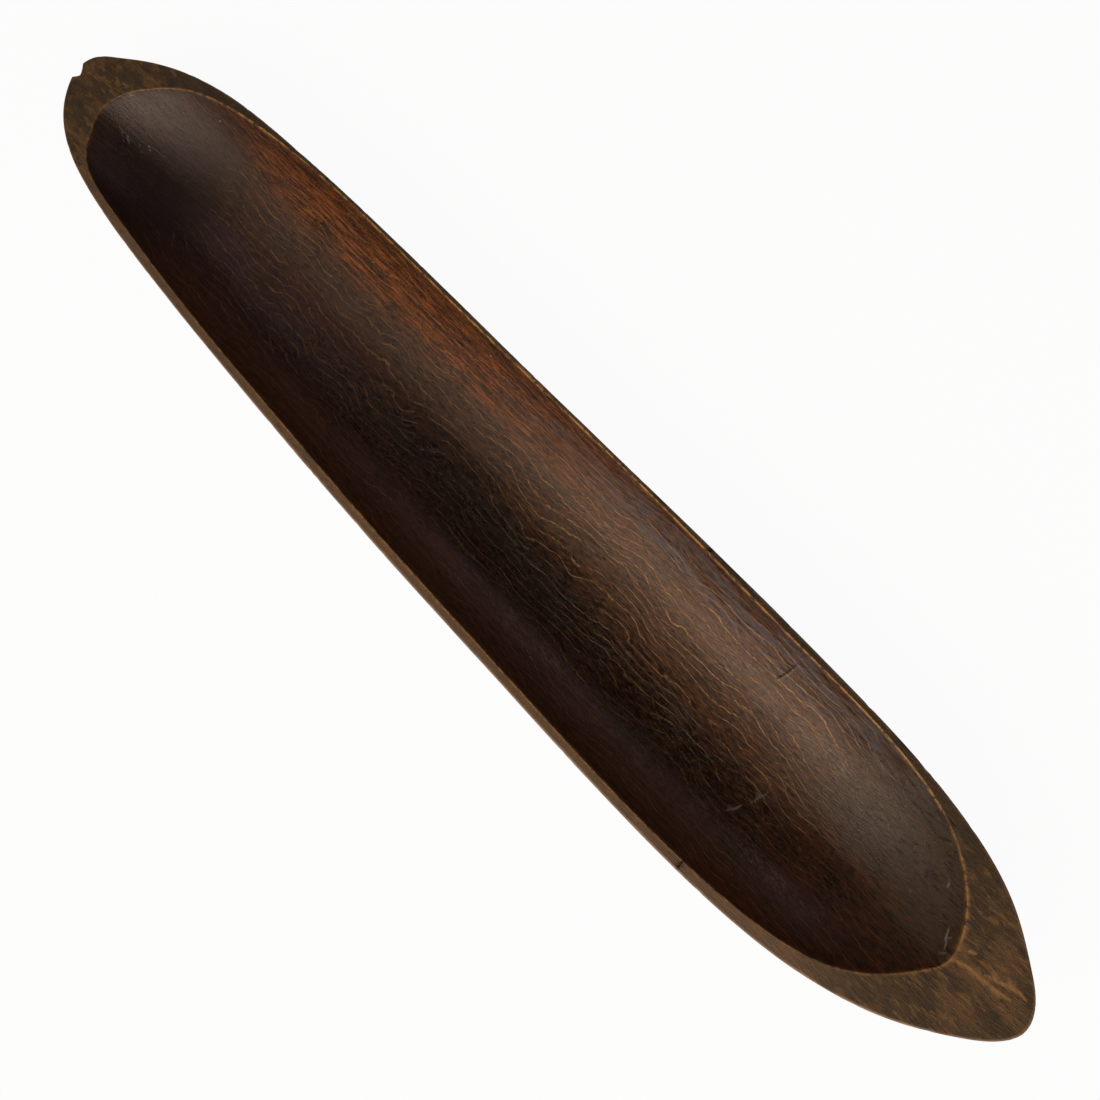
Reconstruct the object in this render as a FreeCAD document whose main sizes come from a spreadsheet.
import FreeCAD, Part
import os

# A long canoe-shaped tray, hewn and hollowed from one plank of dense dark hardwood.
# +X runs to the near lug, +Y to the thin rim, +Z up, in millimetres.
# The origin lies on the ground, at the middle of the tray's bounding box.

os.makedirs("parts", exist_ok=True)
doc = FreeCAD.newDocument("wooden_tray")

# Driving dimensions: alias, value, what it measures
SIZES = (
    ("tray_length", 800.0, "tip to tip"),
    ("half_width_left", 65.4, "middle line to the widest point of the +Y side"),
    ("half_width_right", 65.4, "middle line to the widest point of the -Y side"),
    ("tray_height", 48.0, "ground to rim"),
    ("rim_left", 3.6, "width of the rim along the +Y side"),
    ("rim_right", 6.0, "width of the rim along the -Y side"),
    ("lug_near", 43.4, "solid wood between the hollow and the +X tip"),
    ("lug_far", 41.0, "solid wood between the hollow and the -X tip"),
    ("lug_thickness", 12.0, "rim to the underside of a lug"),
    ("lug_rounding", 9.0, "how far back from the tip the underside of a lug is rounded"),
    ("side_lean", 1.25, "how far the side leans in, from the rim down to the lugs' underside"),
    ("hollow_depth", 38.0, "rim to the floor of the hollow"),
    ("hollow_run", 96.0, "length in which the floor rises to the rim at each end"),
    ("floor_half_width", 10.0, "half of the level strip along the floor"),
    ("foot_half_width", 25.0, "half of the flat foot's width"),
    ("foot_half_length", 255.0, "half of the flat foot's length"),
    ("end_wall", 10.0, "wood outside the hollow's end, where the hull turns into the lug"),
    ("tip_offset_near", 4.4, "how far the +X tip lies to the +Y side"),
    ("tip_offset_far", 2.0, "how far the -X tip lies to the +Y side"),
    ("hollow_offset_near", 2.4, "how far the +X end of the hollow lies to the +Y side"),
    ("hollow_offset_far", -6.0, "how far the -X end of the hollow lies to the +Y side"),
    ("outer_easing", 1.4, "how far the outer arris of the rim is worn round"),
    ("inner_easing", 0.9, "how far the inner arris of the rim is worn round"),
    ("break_mouth", 12.0, "width of the break at the -X tip, at its mouth"),
    ("break_depth", 6.6, "how far the break reaches in from the -X tip"),
)
sheet = doc.addObject("Spreadsheet::Sheet", "sizes")
for row, (alias, value, meaning) in enumerate(SIZES, start=1):
    sheet.set("A%d" % row, alias)
    sheet.set("B%d" % row, str(value))
    sheet.set("C%d" % row, meaning)
    sheet.setAlias("B%d" % row, alias)
doc.recompute()

# Form of the two outlines. At each station, a share of the way from the middle to an end,
# the half-breadth is this share of the side's half-width, in four quarters cut by hand.
STATIONS = (0.0, 0.3, 0.6, 0.8, 0.9, 0.96, 0.99)
SAWN_FORM = {
    "near_left": (0.982, 0.980, 0.952, 0.840, 0.647, 0.413, 0.244),
    "near_right": (0.998, 0.994, 0.954, 0.775, 0.523, 0.265, 0.080),
    "far_left": (0.982, 0.994, 0.958, 0.805, 0.574, 0.360, 0.216),
    "far_right": (0.998, 0.957, 0.874, 0.750, 0.593, 0.375, 0.150),
}
HOLLOW_FORM = {
    "near_left": (0.992, 0.990, 0.948, 0.888, 0.729, 0.488, 0.260),
    "near_right": (0.997, 0.998, 0.975, 0.853, 0.663, 0.369, 0.110),
    "far_left": (0.992, 1.000, 0.979, 0.837, 0.637, 0.364, 0.137),
    "far_right": (0.997, 0.958, 0.885, 0.788, 0.704, 0.517, 0.258),
}

# Rounds of the hollow and the hull, as control points from the bottom up: share of the
# height, share of the way out along the tray, share of the way out across it
HOLLOW_ROUND = ((0.0, 0.0, 0.0), (0.0, 0.40, 0.54), (0.40, 0.78, 0.83), (1.0, 1.0, 1.0))
HULL_ROUND = ((0.0, 0.0, 0.0), (0.0, 0.50, 0.54), (0.34, 0.93, 0.866), (0.85, 1.0, 0.97))

# Worn round at the lug and the arris, as facets: share of the height the round takes,
# share of the way it has still to go out
LUG_ROUND = ((0.0, 1.0), (0.32, 0.28), (1.0, 0.0))
ARRIS_ROUND = ((0.0, 0.0), (0.6, 0.4), (1.0, 1.0))
LUG_ROUND_HEIGHT = 0.25
SWEEP_ROUND = 0.2

# The skins are cut in level bands, each this share of a skin's height. Edges that are this near
# to a height, in mm, lie at it.
ROUND_BAND = 0.1
SWEEP_BAND = 0.33
TOUCHING = 0.001

# Outline of the break, from its -Y side: share of its depth, share of its mouth
BREAK_FORM = (
    (-0.35, -0.35), (0.85, 0.20), (1.0, 0.35), (0.60, 0.73),
    (0.28, 0.84), (0.07, 0.98), (-0.35, 1.10),
)


class Outline:
    """A smooth closed outline in the rim's plane, from the middle of its +Y side round."""

    def __init__(self, form, near, far, left, right, near_offset, far_offset, pace=None):
        def quarter(name, reach, breadth):
            return [FreeCAD.Vector(reach * along, breadth * across, 0)
                    for along, across in zip(STATIONS, form[name])]

        points = (
            quarter("far_left", -far, left) + [FreeCAD.Vector(-far, far_offset, 0)]
            + quarter("far_right", -far, -right)[::-1]
            + quarter("near_right", near, -right)[1:] + [FreeCAD.Vector(near, near_offset, 0)]
            + quarter("near_left", near, left)[:0:-1]
        )
        self.reach = (near + far) / 2
        self.breadth = (left + right) / 2
        self.pace = pace or walked_shares(points)
        self.curve = Part.BSplineCurve()
        self.curve.interpolate(Points=points, PeriodicFlag=True, Parameters=self.pace)
        self.quarters = self.pace[::len(STATIONS)]

    def ring(self, height, reach, breadth):
        """Control points of the outline, drawn in to a half-length and a half-breadth."""
        along = reach / self.reach
        across = breadth / self.breadth
        return [FreeCAD.Vector(pole.x * along, pole.y * across, height)
                for pole in self.curve.getPoles()]


def walked_shares(points):
    """Share of the way round at which each point is reached, from 0 to 1."""
    steps = [start.distanceToPoint(end) for start, end in zip(points, points[1:] + points[:1])]
    return [sum(steps[:count]) / sum(steps) for count in range(len(steps) + 1)]


def skin(outline, rings, band_share=1.0):
    """A smooth skin over level rings of control points, in bands cut in four round the outline."""
    curve = outline.curve
    degree = len(rings) - 1
    bands = round(1 / band_share)
    faces = []
    for band in range(bands):
        for start, end in zip(outline.quarters, outline.quarters[1:]):
            surface = Part.BSplineSurface()
            surface.buildFromPolesMultsKnots(
                list(zip(*rings)), curve.getMultiplicities(), [degree + 1, degree + 1],
                curve.getKnots(), [0, 1], True, False, curve.Degree, degree,
            )
            surface.segment(start, end, band / bands, (band + 1) / bands)
            faces.append(surface.toShape())
    return faces


def facets(outline, rings):
    """Narrow skins, each straight from one ring to the next."""
    return [face for pair in zip(rings, rings[1:]) for face in skin(outline, pair)]


def flat_end(faces, height):
    """The flat face inside the level edges that a skin's faces have at a height."""
    level = [edge for face in faces for edge in face.Edges
             if edge.BoundBox.ZLength < TOUCHING and abs(edge.BoundBox.ZMin - height) < TOUCHING]
    return Part.Face(Part.Wire(Part.sortEdges(level)[0]))


def closed_solid(faces, bottom, top):
    """A solid from skins that meet ring to ring, closed by flat faces at two heights."""
    shell = Part.Shell(faces + [flat_end(faces, bottom), flat_end(faces, top)])
    shell.sewShape()
    return Part.Solid(shell)


half_length = sheet.tray_length / 2
half_width = (sheet.half_width_left + sheet.half_width_right) / 2
sawn = Outline(
    SAWN_FORM, half_length, half_length, sheet.half_width_left, sheet.half_width_right,
    sheet.tip_offset_near, sheet.tip_offset_far,
)
mouth = Outline(
    HOLLOW_FORM, half_length - sheet.lug_near, half_length - sheet.lug_far,
    sheet.half_width_left - sheet.rim_left, sheet.half_width_right - sheet.rim_right,
    sheet.hollow_offset_near, sheet.hollow_offset_far, sawn.pace,
)

# Outside: a flat foot, round bilges, and ends that sweep out under the lugs to the sawn rim
lug_underside = sheet.tray_height - sheet.lug_thickness
hull_reach = mouth.reach + sheet.end_wall
hull_breadth = half_width - sheet.side_lean
hull_rings = [
    mouth.ring(
        lug_underside * rise,
        sheet.foot_half_length + (hull_reach - sheet.foot_half_length) * along,
        sheet.foot_half_width + (hull_breadth - sheet.foot_half_width) * across,
    )
    for rise, along, across in HULL_ROUND
]
lug_rise = LUG_ROUND_HEIGHT * sheet.lug_thickness
lug_rings = [
    sawn.ring(
        lug_underside + lug_rise * rise, half_length - sheet.lug_rounding * inward,
        hull_breadth + sheet.side_lean * LUG_ROUND_HEIGHT * rise,
    )
    for rise, inward in LUG_ROUND
]
sweep_rings = [
    hull_rings[-1],
    [top + (top - below) * SWEEP_ROUND for top, below in zip(hull_rings[-1], hull_rings[-2])],
    lug_rings[0],
]
arris_rings = [
    sawn.ring(
        sheet.tray_height - sheet.outer_easing * (1 - rise),
        half_length - sheet.outer_easing * inward, half_width - sheet.outer_easing * inward,
    )
    for rise, inward in ARRIS_ROUND
]
side_rings = [lug_rings[-1], arris_rings[0]]
outside = doc.addObject("Part::Feature", "hewn_outside")
outside.Shape = closed_solid(
    skin(sawn, hull_rings, ROUND_BAND) + skin(sawn, sweep_rings, SWEEP_BAND)
    + facets(sawn, lug_rings) + skin(sawn, side_rings) + facets(sawn, arris_rings),
    0, sheet.tray_height,
)

# Hollow: gouged down to a narrow level floor, with the rim's inner arris worn round
floor_height = sheet.tray_height - sheet.hollow_depth
bowl_rings = [
    mouth.ring(
        floor_height + (sheet.hollow_depth - sheet.inner_easing) * rise,
        mouth.reach - sheet.hollow_run * (1 - along),
        sheet.floor_half_width + (mouth.breadth - sheet.floor_half_width) * across,
    )
    for rise, along, across in HOLLOW_ROUND
]
lip_rings = [
    bowl_rings[-1],
    mouth.ring(
        sheet.tray_height, mouth.reach + sheet.inner_easing, mouth.breadth + sheet.inner_easing,
    ),
]
hollow = doc.addObject("Part::Feature", "gouged_hollow")
hollow.Shape = closed_solid(
    skin(mouth, bowl_rings, ROUND_BAND) + skin(mouth, lip_rings),
    floor_height, sheet.tray_height,
)
carved = doc.addObject("Part::Cut", "carved_plank")
carved.Base = outside
carved.Tool = hollow
doc.recompute()

# Finished tray, with the break at the far tip
tray = doc.addObject("PartDesign::Body", "tray")
tray.Label = "tray"
tray.BaseFeature = carved
ground = [plane for plane in tray.Origin.OriginFeatures if plane.Role == "XY_Plane"][0]
broken = tray.newObject("Sketcher::SketchObject", "break_outline")
broken.AttachmentSupport = (ground, "")
broken.MapMode = "FlatFace"
broken.setExpression("AttachmentOffset.Base.z", "sizes.tray_height")
corners = [
    FreeCAD.Vector(sheet.break_depth * inward - half_length, sheet.break_mouth * (across - 0.5), 0)
    for inward, across in BREAK_FORM
]
for start, end in zip(corners, corners[1:] + corners[:1]):
    broken.addGeometry(Part.LineSegment(start, end), False)
split = tray.newObject("PartDesign::Pocket", "break_at_tip")
split.Profile = broken
split.Type = "ThroughAll"
doc.recompute()

for item in doc.Objects:
    if "Invalid" in item.State or "Error" in item.State:
        raise RuntimeError("%s failed: %s" % (item.Name, item.State))
if tray.Shape.isNull() or not tray.Shape.isValid() or len(tray.Shape.Solids) != 1:
    raise RuntimeError("the tray isn't one valid solid")
tray.Shape.exportStep("parts/%s.step" % tray.Label)
print("tray: %.0f cm3" % (tray.Shape.Volume / 1000))
